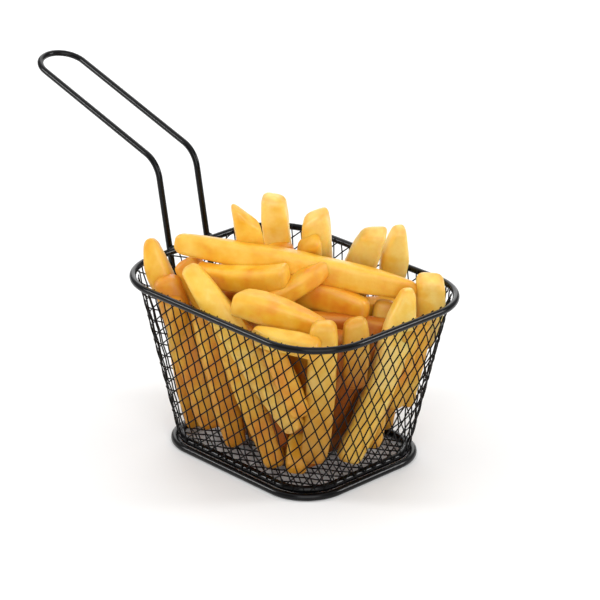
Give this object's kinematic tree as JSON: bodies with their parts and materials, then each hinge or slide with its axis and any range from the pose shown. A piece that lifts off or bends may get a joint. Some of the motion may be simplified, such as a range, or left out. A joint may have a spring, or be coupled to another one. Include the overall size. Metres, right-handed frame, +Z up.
{
  "type": "yam chips in a wire basket",
  "caption": "Heap of thick-cut fried yam chips in a small tapered serving basket of black wire mesh, with a rim wire, a foot wire and a long looped handle.",
  "frame": {"origin": "centre of the whole part's box, on the surface it stands on, under the foot wire", "axes": "+Z up, +Y along the basket's long sides towards the handle's loop, +X across the basket"},
  "size_m": [0.1028, 0.2305, 0.1444],
  "materials": {
    "frame_wire": "black coating, semi-gloss",
    "wire_cloth": "black coating, satin",
    "fried_chip": "soft golden fried surface, slightly oily"
  },
  "bodies": {
    "root": {"rim_wire": "frame_wire", "foot_wire": "frame_wire", "handle_wire": "frame_wire", "mesh_cage": "wire_cloth", "chips": "fried_chip"}
  },
  "joints": []
}
